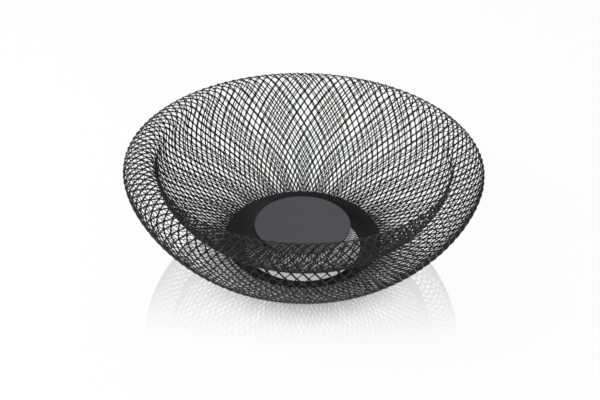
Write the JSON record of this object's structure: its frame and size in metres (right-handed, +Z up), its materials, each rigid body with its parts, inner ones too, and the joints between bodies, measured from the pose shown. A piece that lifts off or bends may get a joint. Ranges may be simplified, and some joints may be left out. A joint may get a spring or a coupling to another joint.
{
  "type": "mesh fruit basket",
  "caption": "Shallow round fruit basket of black diamond mesh, double-walled, with a fat rolled rim, a hanging bowl with a flat centre disc, and a dished base ring.",
  "frame": {"origin": "centre of the base ring's underside, on the table", "axes": "+Z up along the axis of the bowl; the basket is round, so +X and +Y are any two level directions"},
  "size_m": [0.2994, 0.2994, 0.103],
  "materials": {
    "black_mesh": "satin black powder coat",
    "black_ring": "satin black powder coat",
    "grey_disc": "matt dark grey powder coat"
  },
  "bodies": {
    "root": {"mesh_sleeve": "black_mesh", "base_ring": "black_ring", "centre_disc": "grey_disc"}
  },
  "joints": []
}
